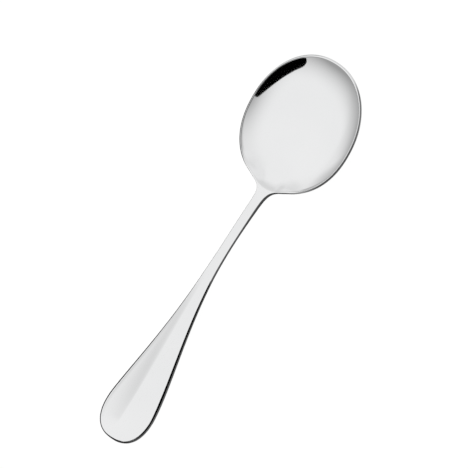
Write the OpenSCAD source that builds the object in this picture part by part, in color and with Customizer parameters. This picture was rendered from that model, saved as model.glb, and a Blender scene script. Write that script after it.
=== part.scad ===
// Soup spoon with a round bowl and a teardrop handle that carries a raised ridge.
// Modelled from the handle tip (x = 0) to the bowl tip (x = overall_l), then set down
// on its bowl and handle end, with the origin under the middle of the whole spoon.

/* [Overall] */
// Length from the handle tip to the bowl tip
overall_l = 177; // [160:1:200]

/* [Bowl] */
// Length of the bowl from the heel to the tip
bowl_l = 57; // [50:0.2:66]
// Distance from the heel to the widest place of the bowl
bowl_wide_at = 27.35; // [24:0.05:30]
// Width of the bowl across the outside of the rim
bowl_w = 50.1; // [42:0.1:58]
// Depth of the bowl below the edge of its hollow
bowl_depth = 7.5; // [5:0.1:12]
// Thickness of the metal at the bottom of the bowl
bowl_t = 1.5; // [1.2:0.1:2.4]
// Distance behind the heel at which the hollow starts in the middle of the neck
hollow_gap = 1.2; // [0.4:0.1:2]
// Radius of the curve across the neck along which the hollow starts
hollow_bend_r = 20; // [12:1:40]
// Depth of the small slope with which the hollow starts on the neck
hollow_edge_h = 0.3; // [0:0.05:0.5]
// Length over which that slope eases off
hollow_edge_l = 1.2; // [0.8:0.1:3]
// Half width over which that slope fades out sideways
hollow_edge_w = 5.7; // [4:0.1:8]

/* [Rim] */
// Height of the rim's outer face with its bevel
rim_t = 1.15; // [0.9:0.05:1.8]
// Width of the bevel on the rim's upper edge
rim_bevel_w = 0.58; // [0.3:0.02:0.8]
// Height of the bevel on the rim's upper edge
rim_bevel_h = 0.48; // [0.3:0.02:0.6]
// Radius that rounds the rim's lower edge
rim_edge_r = 0.25; // [0.15:0.05:0.4]
// Width of the flat lip inside the bevel at the sides of the bowl
rim_lip_w = 0.05; // [0.05:0.05:0.4]
// Width of the flat lip inside the bevel at the bowl's tip
nose_lip_w = 0.35; // [0.05:0.05:0.8]
// Width of the step from the lip down to the hollow
rim_step_w = 0.25; // [0.15:0.05:0.4]
// Height of the step from the lip down to the hollow
rim_step_h = 0.17; // [0.05:0.01:0.25]

/* [Handle] */
// Width of the handle at its broad end
handle_w = 23.3; // [18:0.1:28]
// Distance from the handle tip to its widest place
broad_at = 14.1; // [11:0.1:17]
// Thickness of the broad end at its edge
handle_t = 2.2; // [1.8:0.1:3]
// Height of the ridge above the edge of the handle
ridge_h = 0.85; // [0.4:0.05:1.4]
// Bulge of the handle's back at its middle
back_h = 0.3; // [0:0.1:0.6]
// Length over which the ridge and the bulge rise from the handle tip
tip_fade_l = 9; // [4:1:24]
// Width of the rounded bevel on the handle's upper edge
handle_bevel_w = 1.8; // [0.8:0.1:2.4]
// Height of the rounded bevel on the handle's upper edge
handle_bevel_h = 1.1; // [0.6:0.1:1.4]
// Radius that rounds the lower edge of the handle
back_edge_r = 0.5; // [0.3:0.1:0.6]
// Width of the flat band inside the handle's bevel
edge_band_w = 0.8; // [0.4:0.1:1.2]

/* [Neck] */
// Width of the neck at its narrowest place
neck_w = 4.18; // [3.8:0.02:5.2]
// Distance from the handle tip to the narrowest place
neck_at = 93; // [88:1:98]
// Width that the flared neck would have where it meets the bowl
heel_w = 13.2; // [8:0.1:16]
// Length over which the flare levels off inside the bowl
web_ease_l = 1; // [0.5:0.1:2]
// Thickness of the neck at its edges
neck_t = 2.4; // [2.2:0.1:4]
// Thickness of the neck's edges where it meets the bowl
heel_t = 2.7; // [2.2:0.1:4.4]
// Rise of the neck's top and back above their edges
neck_crown_h = 0.25; // [0.1:0.05:0.4]
// Width of the bevel on the neck's upper edge
neck_bevel_w = 0.4; // [0.2:0.1:0.8]
// Height of the bevel on the neck's upper edge
neck_bevel_h = 0.4; // [0.2:0.1:0.6]
// Radius that rounds the neck's lower edges
neck_edge_r = 1.6; // [1:0.1:1.7]
// Radius that rounds the lower edges where the neck meets the bowl
heel_edge_r = 0.5; // [0.3:0.1:1.6]
// Width of the flat band inside the neck's bevel
neck_band_w = 0.2; // [0.1:0.05:0.3]
// Width of the tongue that the neck leaves on the bowl's back
tongue_w = 8; // [5:0.5:11]
// Length of the tongue that the neck leaves on the bowl's back
tongue_l = 22; // [12:1:28]
// Length over which the neck's edge thins into the rim
shoulder_l = 5; // [4:0.5:12]

/* [Side view] */
// Rise of the handle tip above the line of the handle
tip_rise = 2.18; // [0:0.02:3]
// Distance from the handle tip to where its upward turn ends
upturn_l = 32; // [24:1:40]
// Rise of the handle's arch above the broad end
arch_h = 0.74; // [0:0.02:4]
// Distance from the handle tip to the top of the arch
arch_at = 77; // [70:1:84]
// Drop from the top of the arch to the heel of the bowl
heel_drop = 3.2; // [1:0.1:7]
// Length over which the drop levels off inside the bowl
drop_ease_l = 3; // [2:0.5:6]
// Rise of the bowl tip above the heel
nose_rise = 3.24; // [0:0.02:6]

/* [Hidden] */

// Powers that shape the outlines and curves, without a unit
end_power = 2.41;
taper_power = 0.704;
heel_power = 2.21;
nose_power = 2.105;
blend_power = 5;
drop_power = 1.3;
rise_power = 1.606;
flare_power = 13.5;
dish_power = 2.05;
follow_power = 4;
crest_power = 2.4;
round_power = 2;
rim_power = 1.15;

// Softness of the ridge's crest on the broad end and on the neck, as a share of the half width
crest_soft_share = 0.08;
neck_soft_share = 1;
// Softness of the hollow's edge all round, and what is added at the heel, as shares of the depth
rim_soft_share = 0.004;
heel_soft_share = 0.6;
// Place along the bowl where the neck's width has faded out, as a share of the bowl's length
fade_share = 0.08;

// Steps of the mesh along the spoon, across its faces and round its edges
end_steps = 10;
handle_steps = 32;
neck_steps = 12;
bowl_steps = 52;
face_steps = 16;
edge_steps = 3;
balance_steps = 30;
tangent_step = 0.001;
// How much the steps bunch together behind the heel, as a share of the bowl's length
heel_step_share = 0.15;

heel_at = overall_l - bowl_l;
widest_at = heel_at + bowl_wide_at;
station_count = end_steps + handle_steps + neck_steps + bowl_steps;

// Smooth step from 0 to 1
function smooth(t) = let (c = min(max(t, 0), 1)) c * c * (3 - 2 * c);

// Half width of a rounded end: 0 at u = 1 and full at u = 0
function rounded(u, power) = pow(max(0, 1 - pow(min(abs(u), 1), power)), 1 / power);

// A size that changes along the spoon from the handle to the neck and then to the rim
function along(x, on_handle, on_neck, on_rim) =
    on_handle
    + (on_neck - on_handle) * smooth((x - broad_at) / (neck_at - broad_at))
    + (on_rim - on_neck) * smooth((x - heel_at) / shoulder_l);

// Thickness at the edge, with a swelling where the neck meets the bowl
function swelling(x) =
    smooth((x - neck_at) / (heel_at - neck_at)) * (1 - smooth((x - heel_at) / shoulder_l));
function edge_t(x) = along(x, handle_t, neck_t, rim_t) + (heel_t - neck_t) * swelling(x);

// Rises from 0 at the start to 1 at the heel, and levels off past it without a crease
function to_heel(x, start, power, ease_l) =
    pow(min(max((x - start) / (heel_at - start), 0), 1), power)
    + power * ease_l / (heel_at - start) * (1 - exp(-max(0, x - heel_at) / ease_l));

// Half width of the handle and neck, which fades out inside the bowl's outline
function taper(x) =
    let (t = min(max((x - broad_at) / (neck_at - broad_at), 0), 1))
    (handle_w - neck_w) / 4 * (1 + cos(180 * pow(t, taper_power)));
function flare(x) = (heel_w - neck_w) / 2 * to_heel(x, neck_at, flare_power, web_ease_l);
function handle_half(x) =
    x < broad_at
        ? handle_w / 2 * rounded((broad_at - x) / broad_at, end_power)
        : (neck_w / 2 + taper(x) + flare(x)) * (1 - smooth((x - heel_at) / (fade_share * bowl_l)));

// Half width of the bowl
function bowl_half(x) =
    x < heel_at
        ? 0
        : bowl_w / 2 * (x < widest_at
            ? rounded((widest_at - x) / bowl_wide_at, heel_power)
            : rounded((x - widest_at) / (overall_l - widest_at), nose_power));

function half_width(x) =
    pow(pow(handle_half(x), blend_power) + pow(bowl_half(x), blend_power), 1 / blend_power);

// Distance from the middle line as a share of the half width
function across(x, y) =
    let (half = half_width(x))
    half > 0 ? min(1, abs(y) / half) : 1;

// Place along the spoon for a step, which may lie between two steps: closer together at both ends
function place(step) =
    step < end_steps
        ? broad_at * (1 - cos(90 * step / end_steps))
        : step < end_steps + handle_steps
            ? broad_at + (neck_at - broad_at) * (step - end_steps) / handle_steps
            : step < end_steps + handle_steps + neck_steps
                ? neck_at + (heel_at - neck_at) * sin(90 * (step - end_steps - handle_steps) / neck_steps)
                : bowl_place((step - station_count + bowl_steps) / bowl_steps);
function bowl_place(t) =
    heel_at + bowl_l * ((1 - cos(180 * t)) / 2 + heel_step_share * t * (1 - t) * (1 - t));

// Point on the outline, on the other side of the middle line beyond either tip
function outline(step) =
    step < 0
        ? let (p = outline(-step)) [p[0], -p[1]]
        : step > station_count
            ? let (p = outline(2 * station_count - step)) [p[0], -p[1]]
            : [place(step), half_width(place(step))];

// Unit vector along the outline at a step
function tangent(step) =
    let (d = outline(step + tangent_step) - outline(step - tangent_step))
    d / norm(d);

// Height of the upper edge in the side view
function edge_level(x) =
    tip_rise * pow(max(0, 1 - x / upturn_l), 2)
    + arch_h * smooth((x - upturn_l) / (arch_at - upturn_l))
    - heel_drop * to_heel(x, arch_at, drop_power, drop_ease_l)
    + nose_rise * pow(max(0, (x - heel_at) / bowl_l), rise_power);

// Height of the crest at the share v of the half width, 1 in the middle and 0 at the edge
function crest(v, soft) =
    (sqrt(1 + soft * soft) - sqrt(v * v + soft * soft)) / (sqrt(1 + soft * soft) - soft);

// The ridge, whose flanks are hollow on the handle and straight on the neck
function neck_crown(x) = neck_crown_h * (1 - smooth((x - neck_at) / (heel_at - neck_at)));
function ridge(x, v) =
    along(x, ridge_h * smooth(x / tip_fade_l), neck_crown(x), 0)
    * pow(
        max(0, crest(v, along(x, crest_soft_share, neck_soft_share, neck_soft_share))),
        along(x, crest_power, 1, 1)
    );

// Width of the flat lip beside the bowl's hollow, wider at the bowl's tip
function lip_w(x) =
    rim_lip_w
    + (nose_lip_w - rim_lip_w) * pow(min(max((x - widest_at) / (overall_l - widest_at), 0), 1), 2);

// Distance from the bowl's deepest place: 1 on the bowl's outline moved in by its margins.
// It follows an ellipse in the middle and the outline's own curve near the rim.
function dish_radius(x, y, side_margin, nose_margin) =
    let (power = x < widest_at ? heel_power : nose_power)
    let (reach = x < widest_at ? bowl_wide_at - side_margin : overall_l - widest_at - nose_margin)
    let (u = abs(x - widest_at) / reach)
    let (v = abs(y) / (bowl_w / 2 - side_margin))
    let (inner = norm([u, v]))
    let (outer = pow(pow(u, power) + pow(v, power), 1 / power))
    inner + (outer - inner) * pow(min(1, inner), follow_power);

// Share of the bowl's depth at a point, with an edge that is rounded off by a soft share
function dish(x, y, side_margin, nose_margin, soft, most) =
    let (s = min(most, 1 - pow(dish_radius(x, y, side_margin, nose_margin), dish_power)))
    (s + sqrt(s * s + soft * soft)) / 2;

// 1 where the middle of the neck runs into the bowl, fading to 0 over a width and the tongue's length
function near_heel(x, y, w) = exp(-pow(y / w, 2)) * (1 - smooth((x - heel_at) / tongue_l));

// Depth of the small slope with which the hollow starts on the neck
function hollow_edge(x, y) =
    let (inside = max(0, x - heel_at + hollow_gap - y * y / (2 * hollow_bend_r)))
    hollow_edge_h * (1 - exp(-inside / hollow_edge_l)) * near_heel(x, y, hollow_edge_w);

// Upper surface: most is 1 in the hollow, and 0 on the lip and bevel, which stay above it
function upper_z(x, y, most) =
    edge_level(x)
    + ridge(x, across(x, y))
    - bowl_depth * dish(
        x,
        y,
        rim_bevel_w + rim_lip_w,
        rim_bevel_w + nose_lip_w,
        rim_soft_share + heel_soft_share * near_heel(x, y, tongue_w),
        most
    )
    - most * hollow_edge(x, y)
    - along(x, 0, 0, rim_step_h);

// Lower surface, with the tongue that the neck leaves on the bowl's back
function back_z(x, y) =
    edge_level(x)
    - edge_t(x)
    - along(x, back_h * smooth(x / tip_fade_l), neck_crown_h, 0) * (1 - pow(across(x, y), 2))
    - (x < heel_at ? 0 : (heel_t - edge_t(x)) * near_heel(x, y, tongue_w))
    - (bowl_depth + bowl_t - rim_t) * dish(x, y, 0, 0, heel_soft_share * near_heel(x, y, tongue_w), 1);

// Kinds of rows of points round the edge
in_hollow = 1;
on_lip = 0;
on_back = -1;

// Rows round the edge, from the upper face to the lower one: distance in from the outline,
// kind of row, and height above that kind's surface
function edge_rows(x) =
    let (bevel_w = along(x, handle_bevel_w, neck_bevel_w, rim_bevel_w))
    let (bevel_h = along(x, handle_bevel_h, neck_bevel_h, rim_bevel_h))
    let (bend = 2 / along(x, round_power, round_power, rim_power))
    let (lower_r = along(x, back_edge_r, neck_edge_r, rim_edge_r)
        + (heel_edge_r - neck_edge_r) * swelling(x))
    let (band_w = along(x, edge_band_w, neck_band_w, lip_w(x)))
    let (step_h = along(x, 0, 0, rim_step_h))
    concat(
        [[bevel_w + band_w + rim_step_w, in_hollow, 0], [bevel_w + band_w, on_lip, step_h]],
        [for (k = [0 : edge_steps])
            let (a = 90 * k / edge_steps)
            let (inset = bevel_w * (1 - pow(sin(a), bend)))
            [inset, on_lip, step_h - bevel_h * (1 - pow(cos(a), bend))]],
        [for (k = [edge_steps : -1 : 0])
            let (a = 90 * k / edge_steps)
            [lower_r * (1 - sin(a)), on_back, lower_r * (1 - cos(a))]]
    );
row_count = 2 * edge_steps + 4;

// Points of one edge row on the left side
function edge_point(step, row) =
    let (p = outline(step))
    let (t = tangent(step))
    let (x = p[0] + row[0] * t[1])
    let (y = p[1] - row[0] * t[0])
    [x, y, (row[1] == on_back ? back_z(x, y) : upper_z(x, y, row[1])) + row[2]];

function mirrored(p) = [p[0], -p[1], p[2]];

// Points across one face, between the innermost edge rows of the two sides
function face_points(p, upper) =
    [for (k = [1 : face_steps - 1])
        let (y = p[1] * cos(180 * k / face_steps))
        [p[0], y, upper ? upper_z(p[0], y, in_hollow) : back_z(p[0], y)]];

// Closed ring of points round the spoon at a step: left edge, lower face, right edge, upper face
function ring(step) =
    let (rows = edge_rows(place(step)))
    let (left = [for (row = rows) edge_point(step, row)])
    let (lower = face_points(left[row_count - 1], false))
    let (upper = face_points(left[0], true))
    concat(
        left,
        lower,
        [for (k = [row_count - 1 : -1 : 0]) mirrored(left[k])],
        [for (k = [face_steps - 2 : -1 : 0]) upper[k]]
    );
ring_count = 2 * row_count + 2 * (face_steps - 1);

// At either tip the ring has no width, so its points fold onto those of the left edge
function folded(k) =
    k < row_count
        ? k
        : k < row_count + face_steps - 1
            ? row_count - 1
            : k < 2 * row_count + face_steps - 1
                ? 2 * row_count + face_steps - 2 - k
                : 0;

first_ring = [for (row = edge_rows(place(0))) edge_point(0, row)];
last_ring = [for (row = edge_rows(place(station_count))) edge_point(station_count, row)];
middle_rings = [for (step = [1 : station_count - 1]) each ring(step)];
skin_points = concat(first_ring, middle_rings, last_ring);

// Number of a point in skin_points
function point_index(step, k) =
    let (j = k % ring_count)
    step == 0
        ? folded(j)
        : row_count + (step - 1) * ring_count + (step == station_count ? folded(j) : j);

// Two triangles between neighbouring rings, without those that have no area
function patch(step, k) =
    let (a = point_index(step, k))
    let (b = point_index(step, k + 1))
    let (c = point_index(step + 1, k + 1))
    let (d = point_index(step + 1, k))
    concat(
        a != b && b != c && c != a ? [[a, b, c]] : [],
        a != c && c != d && d != a ? [[a, c, d]] : []
    );

skin_faces = [for (step = [0 : station_count - 1]) for (k = [0 : ring_count - 1]) each patch(step, k)];

// Slope of the line that touches the back of the handle and the back of the bowl
function under(from, to) = [for (step = [from : to]) [place(step), back_z(place(step), 0)]];
handle_under = under(0, end_steps + handle_steps);
bowl_under = under(station_count - bowl_steps, station_count);
function lowest(points, slope) = min([for (p = points) p[1] - slope * p[0]]);
function support_slope(low, high, steps) =
    let (slope = (low + high) / 2)
    steps == 0
        ? slope
        : lowest(handle_under, slope) > lowest(bowl_under, slope)
            ? support_slope(low, slope, steps - 1)
            : support_slope(slope, high, steps - 1);
rest_angle = -atan(support_slope(-1, 1, balance_steps));

// Place of the spoon when it lies at rest
turned_x = [for (p = skin_points) p[0] * cos(rest_angle) - p[2] * sin(rest_angle)];
turned_z = [for (p = skin_points) p[0] * sin(rest_angle) + p[2] * cos(rest_angle)];
rest_shift = [-(min(turned_x) + max(turned_x)) / 2, 0, -min(turned_z)];

module spoon() {
    color([0.82, 0.83, 0.84])
        translate(rest_shift)
            rotate([0, -rest_angle, 0])
                polyhedron(points = skin_points, faces = skin_faces, convexity = 6);
}

spoon();
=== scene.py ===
import math

import bpy
import numpy as np
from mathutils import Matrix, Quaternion, Vector


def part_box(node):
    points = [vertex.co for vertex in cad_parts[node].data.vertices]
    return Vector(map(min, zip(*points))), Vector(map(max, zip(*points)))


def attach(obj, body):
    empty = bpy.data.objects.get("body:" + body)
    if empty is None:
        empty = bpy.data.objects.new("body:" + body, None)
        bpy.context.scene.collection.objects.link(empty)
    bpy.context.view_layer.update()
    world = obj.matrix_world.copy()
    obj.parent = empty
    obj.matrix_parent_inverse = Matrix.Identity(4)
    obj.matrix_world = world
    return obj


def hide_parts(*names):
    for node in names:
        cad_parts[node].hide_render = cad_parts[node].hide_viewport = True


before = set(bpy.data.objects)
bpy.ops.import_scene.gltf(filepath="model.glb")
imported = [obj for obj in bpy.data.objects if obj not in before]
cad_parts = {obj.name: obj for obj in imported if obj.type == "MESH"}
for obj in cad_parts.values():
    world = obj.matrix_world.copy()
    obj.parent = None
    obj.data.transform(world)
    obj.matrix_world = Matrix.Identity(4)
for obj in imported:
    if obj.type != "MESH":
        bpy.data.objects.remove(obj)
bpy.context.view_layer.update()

# Sizes: the spoon is drawn from its handle tip (x = 0) to its bowl tip, as in the CAD source, and
# the finished skin is then set down in the CAD node's own box.

MM = 0.001

OVERALL_L = 177 * MM

BOWL_L = 57 * MM
BOWL_WIDE_AT = 27.35 * MM
BOWL_W = 50.1 * MM
BOWL_DEPTH = 7.5 * MM
BOWL_T = 1.5 * MM
RIM_T = 1.15 * MM
RIM_LIP_W = 0.05 * MM
NOSE_LIP_W = 0.35 * MM
RIM_STEP_W = 0.25 * MM
RIM_STEP_H = 0.17 * MM
RIM_BEVEL_W = 0.58 * MM
RIM_BEVEL_H = 0.48 * MM
RIM_EDGE_R = 0.25 * MM

HANDLE_W = 23.3 * MM
BROAD_AT = 14.1 * MM
HANDLE_T = 2.2 * MM
RIDGE_H = 0.85 * MM
TIP_FADE_L = 9 * MM
BACK_H = 0.3 * MM
HANDLE_BEVEL_W = 1.8 * MM
HANDLE_BEVEL_H = 1.1 * MM
BACK_EDGE_R = 0.5 * MM
EDGE_BAND_W = 0.8 * MM

NECK_W = 4.18 * MM
NECK_AT = 93 * MM
HEEL_W = 13.2 * MM
WEB_EASE_L = 1 * MM
NECK_T = 2.4 * MM
HEEL_T = 2.7 * MM
NECK_CROWN_H = 0.25 * MM
NECK_BEVEL_W = 0.4 * MM
NECK_BEVEL_H = 0.4 * MM
NECK_EDGE_R = 1.6 * MM
HEEL_EDGE_R = 0.5 * MM
NECK_BAND_W = 0.2 * MM
HOLLOW_GAP = 1.2 * MM
HOLLOW_BEND_R = 20 * MM
HOLLOW_EDGE_H = 0.3 * MM
HOLLOW_EDGE_L = 1.2 * MM
HOLLOW_EDGE_W = 5.7 * MM
TONGUE_W = 8 * MM
TONGUE_L = 22 * MM
SHOULDER_L = 5 * MM

TIP_RISE = 2.18 * MM
UPTURN_L = 32 * MM
ARCH_H = 0.74 * MM
ARCH_AT = 77 * MM
HEEL_DROP = 3.2 * MM
DROP_EASE_L = 3 * MM
NOSE_RISE = 3.24 * MM

# Powers that shape the outlines and curves
END_POWER = 2.41
TAPER_POWER = 0.704
HEEL_POWER = 2.21
NOSE_POWER = 2.105
BLEND_POWER = 5
DROP_POWER = 1.3
RISE_POWER = 1.606
FLARE_POWER = 13.5
DISH_POWER = 2.05
FOLLOW_POWER = 4
CREST_POWER = 2.4
ROUND_POWER = 2
RIM_POWER = 1.15

# Softness of creases, as shares of the half width or of the bowl's depth
CREST_SOFT_SHARE = 0.08
NECK_SOFT_SHARE = 1
RIM_SOFT_SHARE = 0.004
HEEL_SOFT_SHARE = 0.6
FADE_SHARE = 0.08

# Fineness of the skin
END_STEPS = 28
HANDLE_STEPS = 96
NECK_STEPS = 30
BOWL_STEPS = 140
FACE_STEPS = 56
EDGE_STEPS = 6
BALANCE_STEPS = 40
TANGENT_STEP = 0.001
HEEL_STEP_SHARE = 0.15

HEEL_AT = OVERALL_L - BOWL_L
WIDEST_AT = HEEL_AT + BOWL_WIDE_AT
STATION_COUNT = END_STEPS + HANDLE_STEPS + NECK_STEPS + BOWL_STEPS
ROW_COUNT = 2 * EDGE_STEPS + 4
RING_COUNT = 2 * ROW_COUNT + 2 * (FACE_STEPS - 1)


# Shape of the spoon


def smooth(t):
    """Smooth step from 0 to 1."""
    c = np.clip(t, 0, 1)
    return c * c * (3 - 2 * c)


def rounded(u, power):
    """Half width of a rounded end: 0 at u = 1 and full at u = 0."""
    return np.maximum(0, 1 - np.minimum(np.abs(u), 1) ** power) ** (1 / power)


def along(x, on_handle, on_neck, on_rim):
    """A size that changes along the spoon from the handle to the neck and then to the rim."""
    return (
        on_handle
        + (on_neck - on_handle) * smooth((x - BROAD_AT) / (NECK_AT - BROAD_AT))
        + (on_rim - on_neck) * smooth((x - HEEL_AT) / SHOULDER_L)
    )


def at_heel(x):
    """Rises from 0 on the neck to 1 at the heel and falls back to 0 on the rim."""
    return smooth((x - NECK_AT) / (HEEL_AT - NECK_AT)) * (1 - smooth((x - HEEL_AT) / SHOULDER_L))


def edge_t(x):
    """Thickness at the edge."""
    return along(x, HANDLE_T, NECK_T, RIM_T) + (HEEL_T - NECK_T) * at_heel(x)


def to_heel(x, start, power, ease_l):
    """Rises from 0 at the start to 1 at the heel, and levels off past it without a crease."""
    t = np.clip((x - start) / (HEEL_AT - start), 0, 1)
    past = 1 - np.exp(-np.maximum(0, x - HEEL_AT) / ease_l)
    return t**power + power * ease_l / (HEEL_AT - start) * past


def handle_half(x):
    """Half width of the handle and neck, which fades out inside the bowl's outline."""
    end = HANDLE_W / 2 * rounded((BROAD_AT - x) / BROAD_AT, END_POWER)
    t = np.clip((x - BROAD_AT) / (NECK_AT - BROAD_AT), 0, 1)
    taper = (HANDLE_W - NECK_W) / 4 * (1 + np.cos(math.pi * t**TAPER_POWER))
    flare = (HEEL_W - NECK_W) / 2 * to_heel(x, NECK_AT, FLARE_POWER, WEB_EASE_L)
    fade = 1 - smooth((x - HEEL_AT) / (FADE_SHARE * BOWL_L))
    return np.where(x < BROAD_AT, end, (NECK_W / 2 + taper + flare) * fade)


def bowl_half(x):
    """Half width of the bowl."""
    heel_side = rounded((WIDEST_AT - x) / BOWL_WIDE_AT, HEEL_POWER)
    nose_side = rounded((x - WIDEST_AT) / (OVERALL_L - WIDEST_AT), NOSE_POWER)
    half = BOWL_W / 2 * np.where(x < WIDEST_AT, heel_side, nose_side)
    return np.where(x < HEEL_AT, 0, half)


def half_width(x):
    return (handle_half(x) ** BLEND_POWER + bowl_half(x) ** BLEND_POWER) ** (1 / BLEND_POWER)


def across(x, y):
    """Distance from the middle line as a share of the half width."""
    half = half_width(x)
    return np.where(half > 0, np.minimum(1, np.abs(y) / np.maximum(half, TANGENT_STEP * MM)), 1)


def place(step):
    """Place along the spoon for a step, closer together at both ends of the handle and bowl."""
    step = np.asarray(step, float)
    end = BROAD_AT * (1 - np.cos(math.pi / 2 * step / END_STEPS))
    handle = BROAD_AT + (NECK_AT - BROAD_AT) * (step - END_STEPS) / HANDLE_STEPS
    quarter = math.pi / 2 * (step - END_STEPS - HANDLE_STEPS) / NECK_STEPS
    neck = NECK_AT + (HEEL_AT - NECK_AT) * np.sin(quarter)
    t = (step - STATION_COUNT + BOWL_STEPS) / BOWL_STEPS
    bowl = HEEL_AT + BOWL_L * ((1 - np.cos(math.pi * t)) / 2 + HEEL_STEP_SHARE * t * (1 - t) ** 2)
    return np.where(
        step < END_STEPS,
        end,
        np.where(
            step < END_STEPS + HANDLE_STEPS,
            handle,
            np.where(step < END_STEPS + HANDLE_STEPS + NECK_STEPS, neck, bowl),
        ),
    )


def outline(step):
    """Points on the outline, on the other side of the middle line beyond either tip."""
    inside = np.where(step < 0, -step, np.where(step > STATION_COUNT, 2 * STATION_COUNT - step, step))
    side = np.where((step < 0) | (step > STATION_COUNT), -1.0, 1.0)
    x = place(inside)
    return np.stack([x, side * half_width(x)], axis=-1)


def tangent(step):
    d = outline(step + TANGENT_STEP) - outline(step - TANGENT_STEP)
    return d / np.linalg.norm(d, axis=-1, keepdims=True)


def edge_level(x):
    """Height of the upper edge in the side view."""
    rise = np.maximum(0, (x - HEEL_AT) / BOWL_L) ** RISE_POWER
    return (
        TIP_RISE * np.maximum(0, 1 - x / UPTURN_L) ** 2
        + ARCH_H * smooth((x - UPTURN_L) / (ARCH_AT - UPTURN_L))
        - HEEL_DROP * to_heel(x, ARCH_AT, DROP_POWER, DROP_EASE_L)
        + NOSE_RISE * rise
    )


def crest(v, soft):
    """Height of the ridge at the share v of the half width, 1 in the middle and 0 at the edge."""
    top = np.sqrt(1 + soft * soft)
    return (top - np.sqrt(v * v + soft * soft)) / (top - soft)


def ridge(x, v):
    """The crest, whose flanks are hollow on the handle and straight on the neck."""
    soft = along(x, CREST_SOFT_SHARE, NECK_SOFT_SHARE, NECK_SOFT_SHARE)
    neck_crown = NECK_CROWN_H * (1 - smooth((x - NECK_AT) / (HEEL_AT - NECK_AT)))
    height = along(x, RIDGE_H * smooth(x / TIP_FADE_L), neck_crown, 0)
    return height * np.maximum(0, crest(v, soft)) ** along(x, CREST_POWER, 1, 1)


def lip_w(x):
    """Width of the flat lip beside the bowl's hollow, wider at the bowl's tip."""
    beyond = np.clip((x - WIDEST_AT) / (OVERALL_L - WIDEST_AT), 0, 1)
    return RIM_LIP_W + (NOSE_LIP_W - RIM_LIP_W) * beyond**2


def dish_radius(x, y, side_margin, nose_margin):
    """1 on the bowl's outline moved in by its margins, and an ellipse in the bowl's middle."""
    heel_side = x < WIDEST_AT
    power = np.where(heel_side, HEEL_POWER, NOSE_POWER)
    reach = np.where(heel_side, BOWL_WIDE_AT - side_margin, OVERALL_L - WIDEST_AT - nose_margin)
    u = np.abs(x - WIDEST_AT) / reach
    v = np.abs(y) / (BOWL_W / 2 - side_margin)
    inner = np.hypot(u, v)
    outer = (u**power + v**power) ** (1 / power)
    return inner + (outer - inner) * np.minimum(1, inner) ** FOLLOW_POWER


def dish(x, y, side_margin, nose_margin, soft, most):
    """Share of the bowl's depth at a point, with an edge that is rounded off."""
    s = np.minimum(most, 1 - dish_radius(x, y, side_margin, nose_margin) ** DISH_POWER)
    return (s + np.sqrt(s * s + soft * soft)) / 2


def near_heel(x, y, w):
    """1 where the middle of the neck runs into the bowl, fading to 0 round about."""
    return np.exp(-((y / w) ** 2)) * (1 - smooth((x - HEEL_AT) / TONGUE_L))


def hollow_edge(x, y):
    """Depth of the small slope with which the hollow starts on the neck."""
    inside = np.maximum(0, x - HEEL_AT + HOLLOW_GAP - y * y / (2 * HOLLOW_BEND_R))
    return HOLLOW_EDGE_H * (1 - np.exp(-inside / HOLLOW_EDGE_L)) * near_heel(x, y, HOLLOW_EDGE_W)


def upper_z(x, y, most):
    """Upper surface, of which the hollow has no more than a part on the lip and bevel."""
    soft = RIM_SOFT_SHARE + HEEL_SOFT_SHARE * near_heel(x, y, TONGUE_W)
    hollow = BOWL_DEPTH * dish(x, y, RIM_BEVEL_W + RIM_LIP_W, RIM_BEVEL_W + NOSE_LIP_W, soft, most)
    level = edge_level(x) + ridge(x, across(x, y))
    return level - hollow - most * hollow_edge(x, y) - along(x, 0, 0, RIM_STEP_H)


def top_z(x, y):
    return upper_z(x, y, 1)


def lip_z(x, y):
    return upper_z(x, y, 0)


def back_z(x, y):
    """Lower surface, with the tongue that the neck leaves on the bowl's back."""
    crown = along(x, BACK_H * smooth(x / TIP_FADE_L), NECK_CROWN_H, 0) * (1 - across(x, y) ** 2)
    tongue = np.where(x < HEEL_AT, 0, (HEEL_T - edge_t(x)) * near_heel(x, y, TONGUE_W))
    soft = HEEL_SOFT_SHARE * near_heel(x, y, TONGUE_W)
    bulge = (BOWL_DEPTH + BOWL_T - RIM_T) * dish(x, y, 0, 0, soft, 1)
    return edge_level(x) - edge_t(x) - crown - tongue - bulge


def edge_points(step):
    """Left edge of the skin at each step: rows from the upper face round to the lower one."""
    p = outline(step)
    t = tangent(step)
    x = p[:, 0]
    bevel_w = along(x, HANDLE_BEVEL_W, NECK_BEVEL_W, RIM_BEVEL_W)
    bevel_h = along(x, HANDLE_BEVEL_H, NECK_BEVEL_H, RIM_BEVEL_H)
    bend = 2 / along(x, ROUND_POWER, ROUND_POWER, RIM_POWER)
    lower_r = along(x, BACK_EDGE_R, NECK_EDGE_R, RIM_EDGE_R) + (HEEL_EDGE_R - NECK_EDGE_R) * at_heel(x)
    band = along(x, EDGE_BAND_W, NECK_BAND_W, lip_w(x))
    step_h = along(x, 0, 0, RIM_STEP_H)
    turns = [math.pi / 2 * k / EDGE_STEPS for k in range(EDGE_STEPS + 1)]
    sines = [(abs(math.sin(a)), abs(math.cos(a))) for a in turns]
    rows = [(bevel_w + band + RIM_STEP_W, top_z, 0 * x), (bevel_w + band, lip_z, step_h)]
    rows += [(bevel_w * (1 - s**bend), lip_z, step_h - bevel_h * (1 - c**bend)) for s, c in sines]
    rows += [(lower_r * (1 - s), back_z, lower_r * (1 - c)) for s, c in sines[::-1]]
    points = []
    for inset, surface, lift in rows:
        qx = p[:, 0] + inset * t[:, 1]
        qy = p[:, 1] - inset * t[:, 0]
        points.append(np.stack([qx, qy, surface(qx, qy) + lift], axis=-1))
    return np.stack(points, axis=1)


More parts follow.
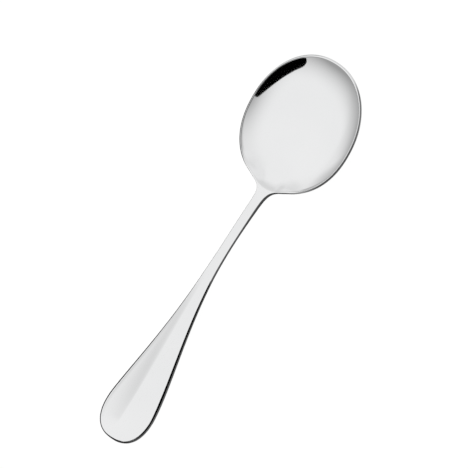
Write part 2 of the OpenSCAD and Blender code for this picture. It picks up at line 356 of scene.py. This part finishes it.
def face_points(p, surface):
    """Points across one face between the innermost edge rows of the two sides."""
    turns = math.pi * np.arange(1, FACE_STEPS) / FACE_STEPS
    y = p[:, 1:2] * np.cos(turns)
    x = np.repeat(p[:, 0:1], FACE_STEPS - 1, axis=1)
    return np.stack([x, y, surface(x, y)], axis=-1)


def skin():
    """Vertices and faces of the whole skin. At either tip the ring folds onto its left edge."""
    left = edge_points(np.arange(STATION_COUNT + 1, dtype=float))
    mirror = np.array([1, -1, 1])
    inner = left[1:-1]
    rings = np.concatenate(
        [
            inner,
            face_points(inner[:, -1], back_z),
            inner[:, ::-1] * mirror,
            face_points(inner[:, 0], top_z)[:, ::-1],
        ],
        axis=1,
    )
    points = np.concatenate([left[0], rings.reshape(-1, 3), left[-1]])

    folded = (
        list(range(ROW_COUNT))
        + [ROW_COUNT - 1] * (FACE_STEPS - 1)
        + list(range(ROW_COUNT - 1, -1, -1))
        + [0] * (FACE_STEPS - 1)
    )

    def index(step, k):
        k %= RING_COUNT
        if step == 0:
            return folded[k]
        start = ROW_COUNT + (step - 1) * RING_COUNT
        return start + (folded[k] if step == STATION_COUNT else k)

    faces = []
    for step in range(STATION_COUNT):
        for k in range(RING_COUNT):
            corners = [index(step, k), index(step, k + 1), index(step + 1, k + 1), index(step + 1, k)]
            corners = [c for i, c in enumerate(corners) if c != corners[i - 1]]
            if len(corners) > 2:
                faces.append(corners[::-1])
    return points, faces


def support_slope():
    """Slope of the line that touches the back of the handle and the back of the bowl."""
    steps = np.arange(STATION_COUNT + 1)
    x = place(steps)
    z = back_z(x, 0 * x)
    handle = steps <= END_STEPS + HANDLE_STEPS
    bowl = steps >= STATION_COUNT - BOWL_STEPS
    low, high = -1.0, 1.0
    for _ in range(BALANCE_STEPS):
        slope = (low + high) / 2
        if (z - slope * x)[handle].min() > (z - slope * x)[bowl].min():
            high = slope
        else:
            low = slope
    return slope


def at_rest(points):
    """The points turned to the rest pose and fitted to the CAD node's box."""
    a = -math.atan(support_slope())
    x = points[:, 0] * math.cos(a) - points[:, 2] * math.sin(a)
    z = points[:, 0] * math.sin(a) + points[:, 2] * math.cos(a)
    turned = np.stack([x, points[:, 1], z], axis=-1)
    lo, hi = (np.array(corner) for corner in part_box("spoon"))
    share = (turned - turned.min(0)) / (turned.max(0) - turned.min(0))
    return lo + share * (hi - lo)


def build_spoon(material):
    points, faces = skin()
    mesh = bpy.data.meshes.new("spoon_skin")
    mesh.from_pydata(at_rest(points).tolist(), [], faces)
    mesh.update()
    mesh.shade_smooth()
    mesh.materials.append(material)
    spoon = bpy.data.objects.new("spoon_skin", mesh)
    bpy.context.scene.collection.objects.link(spoon)
    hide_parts("spoon")
    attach(spoon, "root")
    return spoon


# Finish of the steel, as stops of a noise with the level or tint at each
STEEL_TINTS = ((0.3, (0.80, 0.805, 0.81)), (0.7, (0.83, 0.833, 0.836)))
TINT_SCALE = 30
TINT_DETAIL = 2
STEEL_ROUGHNESS = ((0.35, 0.03), (0.6, 0.045), (0.8, 0.07))
HAZE_SCALE = 55
HAZE_DETAIL = 4
MARKS_STRETCH = (300, 6000, 6000)
MARKS_SCALE = 1
MARKS_DETAIL = 3
MARKS_STRENGTH = 0.05
MARKS_DEPTH = 0.01 * MM


def nodes_of(material):
    material.use_nodes = True
    tree = material.node_tree
    tree.nodes.clear()
    return tree, tree.nodes, tree.links


def ramp(tree, source, stops):
    """A colour ramp of grey levels or tints on a source socket."""
    node = tree.nodes.new("ShaderNodeValToRGB")
    node.color_ramp.elements[0].position = stops[0][0]
    node.color_ramp.elements[1].position = stops[-1][0]
    for position, _ in stops[1:-1]:
        node.color_ramp.elements.new(position)
    for element, (_, level) in zip(node.color_ramp.elements, stops):
        element.color = (*level, 1) if isinstance(level, tuple) else (level, level, level, 1)
    tree.links.new(source, node.inputs["Fac"])
    return node.outputs["Color"]


def graded(tree, source, limits, levels):
    """A smooth change from one level to another between two limits of a source socket."""
    node = tree.nodes.new("ShaderNodeMapRange")
    node.interpolation_type = "SMOOTHSTEP"
    node.inputs["From Min"].default_value, node.inputs["From Max"].default_value = limits
    node.inputs["To Min"].default_value, node.inputs["To Max"].default_value = levels
    tree.links.new(source, node.inputs["Value"])
    return node.outputs["Result"]


def noise(tree, vector, scale, detail):
    node = tree.nodes.new("ShaderNodeTexNoise")
    node.inputs["Scale"].default_value = scale
    node.inputs["Detail"].default_value = detail
    tree.links.new(vector, node.inputs["Vector"])
    return node.outputs["Fac"]


def stretched(tree, vector, stretch):
    node = tree.nodes.new("ShaderNodeMapping")
    node.inputs["Scale"].default_value = stretch
    tree.links.new(vector, node.inputs["Vector"])
    return node.outputs["Vector"]


def polished_steel():
    """Mirror-polished stainless steel: faint polishing marks along the spoon, and light handling haze."""
    material = bpy.data.materials.new("polished_steel")
    tree, nodes, links = nodes_of(material)
    shader = nodes.new("ShaderNodeBsdfPrincipled")
    shader.inputs["Metallic"].default_value = 1
    output = nodes.new("ShaderNodeOutputMaterial")
    links.new(shader.outputs["BSDF"], output.inputs["Surface"])
    place_on = nodes.new("ShaderNodeTexCoord").outputs["Object"]

    tint = noise(tree, place_on, TINT_SCALE, TINT_DETAIL)
    links.new(ramp(tree, tint, STEEL_TINTS), shader.inputs["Base Color"])

    haze = noise(tree, place_on, HAZE_SCALE, HAZE_DETAIL)
    links.new(ramp(tree, haze, STEEL_ROUGHNESS), shader.inputs["Roughness"])

    marks = noise(tree, stretched(tree, place_on, MARKS_STRETCH), MARKS_SCALE, MARKS_DETAIL)
    bump = nodes.new("ShaderNodeBump")
    bump.inputs["Strength"].default_value = MARKS_STRENGTH
    bump.inputs["Distance"].default_value = MARKS_DEPTH
    links.new(marks, bump.inputs["Height"])
    links.new(bump.outputs["Normal"], shader.inputs["Normal"])
    return material


# Studio: pieces that only light the spoon or show in it


def add_mesh(name, points, faces, material):
    mesh = bpy.data.meshes.new(name)
    mesh.from_pydata([tuple(p) for p in points], [], faces)
    mesh.update()
    mesh.materials.append(material)
    obj = bpy.data.objects.new(name, mesh)
    bpy.context.scene.collection.objects.link(obj)
    return obj


def add_square(name, half, z, material):
    corners = [(-1, -1), (1, -1), (1, 1), (-1, 1)]
    points = [(x * half, y * half, z) for x, y in corners]
    return add_mesh(name, points, [(0, 1, 2, 3)], material)


FLOOR_HALF = 3.0
FLOOR_GAP = 0.1 * MM
TABLE_LEVEL = 0.9
TABLE_GLOW = 1.04
TABLE_GLOW_SHARE = 0.95


def floor_material():
    """Pale table that looks white to the camera and still takes a little of the spoon's shadow.

    The metal sees the table shade in its place, out to the shade's edge.
    """
    material = bpy.data.materials.new("white_table")
    tree, nodes, links = nodes_of(material)
    cloth = nodes.new("ShaderNodeBsdfDiffuse")
    cloth.inputs["Color"].default_value = (TABLE_LEVEL, TABLE_LEVEL, TABLE_LEVEL, 1)
    white = nodes.new("ShaderNodeEmission")
    white.inputs["Strength"].default_value = TABLE_GLOW
    path = nodes.new("ShaderNodeLightPath")
    seen = nodes.new("ShaderNodeMath")
    seen.operation = "MAXIMUM"
    links.new(path.outputs["Is Camera Ray"], seen.inputs[0])
    links.new(path.outputs["Is Glossy Ray"], seen.inputs[1])
    share = nodes.new("ShaderNodeMath")
    share.operation = "MULTIPLY"
    share.inputs[1].default_value = TABLE_GLOW_SHARE
    links.new(seen.outputs[0], share.inputs[0])
    mix = nodes.new("ShaderNodeMixShader")
    links.new(share.outputs[0], mix.inputs["Fac"])
    links.new(cloth.outputs["BSDF"], mix.inputs[1])
    links.new(white.outputs["Emission"], mix.inputs[2])
    output = nodes.new("ShaderNodeOutputMaterial")
    links.new(mix.outputs["Shader"], output.inputs["Surface"])
    return material


def build_floor():
    return add_square("white_table", FLOOR_HALF, -FLOOR_GAP, floor_material())


# Dark shape overhead, seen only in the metal, where it makes the crescent in the bowl: a bent
# rectangle with rounded corners
CEILING_Z = 1.0
GAP_MIDDLE = (-0.753, -0.531)
GAP_TURN = -35.8
GAP_X = (-0.81, 0.58)
GAP_Y = (-0.15, 0.183)
GAP_CORNER_R = 0.07
GAP_END_R = (0.32, 0.16)
GAP_BEND = 0.13
CORNER_STEPS = 8
SIDE_STEPS = 24


def direction(azimuth, elevation):
    a, e = math.radians(azimuth), math.radians(elevation)
    return Vector((math.cos(a) * math.cos(e), math.sin(a) * math.cos(e), math.sin(e)))


def only_in_reflections(obj):
    obj.visible_camera = False
    obj.visible_diffuse = False
    obj.visible_shadow = False
    obj.visible_transmission = False


def build_ceiling_gap():
    corners = [(GAP_X[1], GAP_Y[1]), (GAP_X[0], GAP_Y[1]), (GAP_X[0], GAP_Y[0]), (GAP_X[1], GAP_Y[0])]
    flat = []
    for k, (x, y) in enumerate(corners):
        rx, ry = (GAP_CORNER_R, GAP_CORNER_R) if x > 0 else GAP_END_R
        cx, cy = x - math.copysign(rx, x), y - math.copysign(ry, y)
        for step in range(CORNER_STEPS + 1):
            a = math.pi / 2 * (k + step / CORNER_STEPS)
            flat.append((cx + rx * math.cos(a), cy + ry * math.sin(a)))
        if k in (0, 2):
            end = GAP_X[0] + GAP_END_R[0] if k == 0 else GAP_X[1] - GAP_CORNER_R
            for step in range(1, SIDE_STEPS):
                flat.append((cx + (end - cx) * step / SIDE_STEPS, y))
    turn = Quaternion((0, 0, 1), math.radians(GAP_TURN))
    middle = Vector((*GAP_MIDDLE, CEILING_Z))
    points = [turn @ Vector((x, y + GAP_BEND * x * x, 0)) + middle for x, y in flat]
    gap = add_mesh("ceiling_gap", points, [range(len(points))], plain_card_material("ceiling_gap", 0))
    only_in_reflections(gap)
    return gap


def plain_card_material(name, level):
    material = bpy.data.materials.new(name)
    tree, nodes, links = nodes_of(material)
    glow = nodes.new("ShaderNodeEmission")
    glow.inputs["Color"].default_value = (level, level, level, 1)
    output = nodes.new("ShaderNodeOutputMaterial")
    links.new(glow.outputs["Emission"], output.inputs["Surface"])
    return material


# Grey of the table as the metal shows it: dark, a little lighter on the camera's side of the
# spoon, and pale beyond the bowl's tip
SHADE_HALF = 2.9
SHADE_SIDE_Y = (0, -20 * MM)
SHADE_SIDE_LEVELS = (0.05, 0.18)
SHADE_NOSE_X = (60 * MM, 85 * MM)
SHADE_NOSE_LEVEL = 0.7


def table_shade_material():
    material = bpy.data.materials.new("table_shade")
    tree, nodes, links = nodes_of(material)
    place_on = nodes.new("ShaderNodeSeparateXYZ")
    links.new(nodes.new("ShaderNodeTexCoord").outputs["Object"], place_on.inputs["Vector"])
    side = graded(tree, place_on.outputs["Y"], SHADE_SIDE_Y, SHADE_SIDE_LEVELS)
    nose = graded(tree, place_on.outputs["X"], SHADE_NOSE_X, (0, SHADE_NOSE_LEVEL))
    level = nodes.new("ShaderNodeMath")
    level.operation = "MAXIMUM"
    links.new(side, level.inputs[0])
    links.new(nose, level.inputs[1])
    glow = nodes.new("ShaderNodeEmission")
    links.new(level.outputs[0], glow.inputs["Strength"])
    output = nodes.new("ShaderNodeOutputMaterial")
    links.new(glow.outputs["Emission"], output.inputs["Surface"])
    return material


def build_table_shade():
    shade = add_square("table_shade", SHADE_HALF, -FLOOR_GAP / 2, table_shade_material())
    only_in_reflections(shade)
    return shade


# Dark strips that stand along the handle's edges and round its tip, seen only in the metal. Steps
# below zero are on the left side.
STRIP_GAP = 16 * MM
STRIP_TOP_GAP = 7 * MM
STRIP_H = 24 * MM
STRIP_STEPS = (-125, -90, -20, -8, 0, 14, 38, 100)
STRIP_H_SHARES = (0.02, 0.4, 0.33, 0.24, 0.66, 0.4, 1, 1)
STRIP_TURN_STEP = 14
STRIP_LEFT_LEVEL = 0.03


def build_edge_strip(name, first, last, level):
    steps = np.arange(first, last + 1, dtype=float)
    share = np.interp(steps, STRIP_STEPS, STRIP_H_SHARES)
    p, t = outline(steps), tangent(steps)
    out = np.stack([t[:, 1], -t[:, 0]], axis=-1) * np.array([1, -1])
    edge = p * np.array([1, -1]) - np.array([OVERALL_L / 2, 0])
    foot = edge - out * STRIP_GAP
    top = edge - out * (STRIP_GAP + (STRIP_TOP_GAP - STRIP_GAP) * share)[:, None]
    points = [(x, y, 0) for x, y in foot] + [(x, y, z) for (x, y), z in zip(top, STRIP_H * share)]
    n = len(steps)
    faces = [(k, k + 1, n + k + 1, n + k) for k in range(n - 1)]
    strip = add_mesh(name, points, faces, plain_card_material(name, level))
    only_in_reflections(strip)
    return strip


# Grey panel beside the handle's left edge, which shades the flank on that side
PANEL_Y = 36 * MM
PANEL_X = (-98 * MM, -12 * MM)
PANEL_Z = (24 * MM, 90 * MM)
PANEL_LEVEL = 0.77
PANEL_SOFT_SHARE = 0.35
PANEL_FADE_Z = (0.1, 0.6)


def side_panel_material():
    """Grey at the panel's foot and white at its top and both ends."""
    material = bpy.data.materials.new("side_panel")
    tree, nodes, links = nodes_of(material)
    across = nodes.new("ShaderNodeSeparateXYZ")
    links.new(nodes.new("ShaderNodeTexCoord").outputs["Generated"], across.inputs["Vector"])
    shade = graded(tree, across.outputs["Z"], PANEL_FADE_Z, (1.0 - PANEL_LEVEL, 0.0))
    for limits in ((0.0, PANEL_SOFT_SHARE), (1.0, 1.0 - PANEL_SOFT_SHARE)):
        node = nodes.new("ShaderNodeMath")
        node.operation = "MULTIPLY"
        links.new(shade, node.inputs[0])
        links.new(graded(tree, across.outputs["X"], limits, (0.0, 1.0)), node.inputs[1])
        shade = node.outputs[0]
    level = nodes.new("ShaderNodeMath")
    level.operation = "SUBTRACT"
    level.inputs[0].default_value = 1
    links.new(shade, level.inputs[1])
    veil = nodes.new("ShaderNodeBsdfTransparent")
    links.new(level.outputs[0], veil.inputs["Color"])
    output = nodes.new("ShaderNodeOutputMaterial")
    links.new(veil.outputs["BSDF"], output.inputs["Surface"])
    return material


def build_side_panel():
    low, high = PANEL_Z
    corners = zip(PANEL_X + PANEL_X[::-1], (low, low, high, high))
    points = [(x, PANEL_Y, z) for x, z in corners]
    panel = add_mesh("side_panel", points, [(0, 1, 2, 3)], side_panel_material())
    only_in_reflections(panel)
    return panel


# Surroundings, by direction: white, with fades past a limit away from the far side and the near
# side, and smaller changes of level beyond the heel and beyond the bowl's tip
FAR_SIDE = (0.285, 0.265, 0.956)
FAR_LIMIT = 0.528
FAR_RATE = 7.47
FAR_LEAST = 0.42
NEAR_SIDE = -direction(-68.3, -63.3)
NEAR_LIMIT = 0.745
NEAR_RATE = 7
NEAR_LEAST_TOWARDS = direction(94, 0)
NEAR_LEAST_LIMITS = (-0.527, -0.144)
NEAR_LEAST_LEVELS = (0.21, 0.94)
HEEL_SIDE = (-0.318, -0.616, 0.131)
HEEL_LIMITS = (-0.626, -0.575)
HEEL_LEVELS = (0.555, 1)
NOSE_SIDE = (0.942, 0.091, -0.151)
NOSE_LIMITS = (0.372, 0.487)
NOSE_LEVELS = (1, 0.867)


def build_world():
    """Soft white surroundings that darken towards the horizon and towards the camera's side."""
    world = bpy.data.worlds.new("studio")
    bpy.context.scene.world = world
    world.use_nodes = True
    tree = world.node_tree
    nodes, links = tree.nodes, tree.links
    nodes.clear()
    towards = nodes.new("ShaderNodeTexCoord").outputs["Generated"]

    def math_node(operation, first, second):
        node = nodes.new("ShaderNodeMath")
        node.operation = operation
        for socket, value in zip(node.inputs, (first, second)):
            if isinstance(value, (int, float)):
                socket.default_value = value
            else:
                links.new(value, socket)
        return node.outputs[0]

    def dot_with(vector):
        dot = nodes.new("ShaderNodeVectorMath")
        dot.operation = "DOT_PRODUCT"
        dot.inputs[1].default_value = vector
        links.new(towards, dot.inputs[0])
        return dot.outputs["Value"]

    def faded(vector, limit, rate, least):
        short = math_node("MAXIMUM", math_node("SUBTRACT", limit, dot_with(vector)), 0)
        fall = math_node("MULTIPLY", math_node("MULTIPLY", short, short), rate)
        return math_node("MAXIMUM", math_node("SUBTRACT", 1, fall), least)

    around = nodes.new("ShaderNodeBackground")
    around.inputs["Color"].default_value = (1, 1, 1, 1)
    far = faded(FAR_SIDE, FAR_LIMIT, FAR_RATE, FAR_LEAST)
    near_least = graded(tree, dot_with(NEAR_LEAST_TOWARDS), NEAR_LEAST_LIMITS, NEAR_LEAST_LEVELS)
    near = faded(NEAR_SIDE, NEAR_LIMIT, NEAR_RATE, near_least)
    beyond_heel = graded(tree, dot_with(HEEL_SIDE), HEEL_LIMITS, HEEL_LEVELS)
    beyond_nose = graded(tree, dot_with(NOSE_SIDE), NOSE_LIMITS, NOSE_LEVELS)
    beyond = math_node("MINIMUM", beyond_heel, beyond_nose)
    links.new(math_node("MULTIPLY", math_node("MULTIPLY", far, near), beyond), around.inputs["Strength"])
    white = nodes.new("ShaderNodeBackground")
    white.inputs["Color"].default_value = (1, 1, 1, 1)
    path = nodes.new("ShaderNodeLightPath")
    mix = nodes.new("ShaderNodeMixShader")
    links.new(path.outputs["Is Camera Ray"], mix.inputs["Fac"])
    links.new(around.outputs["Background"], mix.inputs[1])
    links.new(white.outputs["Background"], mix.inputs[2])
    output = nodes.new("ShaderNodeOutputWorld")
    links.new(mix.outputs["Shader"], output.inputs["Surface"])


LAMP_SIZE = 1.2
LAMP_ENERGY = 0.5
LAMP_AT = (0, 0.2, 1.6)


def build_lamp():
    """Large soft lamp overhead, which doesn't show in the metal."""
    data = bpy.data.lights.new("overhead", "AREA")
    data.shape = "DISK"
    data.size = LAMP_SIZE
    data.energy = LAMP_ENERGY
    lamp = bpy.data.objects.new("overhead", data)
    lamp.location = LAMP_AT
    bpy.context.scene.collection.objects.link(lamp)
    lamp.rotation_mode = "QUATERNION"
    lamp.rotation_quaternion = (-Vector(LAMP_AT)).to_track_quat("-Z", "Y")
    lamp.visible_glossy = False


# Camera
IMAGE_PX = 469
PX_PER_MM = 2.4776
CAMERA_ELEVATION = 65
CAMERA_ROLL = 57.752
CAMERA_DISTANCE = 0.9
SENSOR_MM = 36
AIM = Vector((0, 0, 5 * MM))
AIM_PX = (224.83, 252.09)


def build_camera():
    """Camera above the spoon's right side, rolled so that the spoon stands up in the frame."""
    e = math.radians(CAMERA_ELEVATION)
    back = Vector((0, -math.cos(e), math.sin(e)))
    turn = (-back).to_track_quat("-Z", "Y") @ Quaternion((0, 0, 1), -math.radians(CAMERA_ROLL))
    right, up = turn @ Vector((1, 0, 0)), turn @ Vector((0, 1, 0))
    middle = IMAGE_PX / 2
    aside = (middle - AIM_PX[0]) / PX_PER_MM * MM * right + (AIM_PX[1] - middle) / PX_PER_MM * MM * up
    data = bpy.data.cameras.new("camera")
    data.sensor_width = SENSOR_MM
    data.lens = SENSOR_MM * CAMERA_DISTANCE / (IMAGE_PX / PX_PER_MM * MM)
    camera = bpy.data.objects.new("camera", data)
    camera.rotation_mode = "QUATERNION"
    camera.rotation_quaternion = turn
    camera.location = AIM + CAMERA_DISTANCE * back + aside
    bpy.context.scene.collection.objects.link(camera)
    bpy.context.scene.camera = camera


build_spoon(polished_steel())
build_floor()
build_ceiling_gap()
build_table_shade()
build_edge_strip("right_strip", STRIP_TURN_STEP, STRIP_STEPS[-1], 0)
build_edge_strip("left_strip", STRIP_STEPS[0], STRIP_TURN_STEP, STRIP_LEFT_LEVEL)
build_side_panel()
build_world()
build_lamp()
build_camera()
bpy.context.scene.view_settings.view_transform = "Standard"
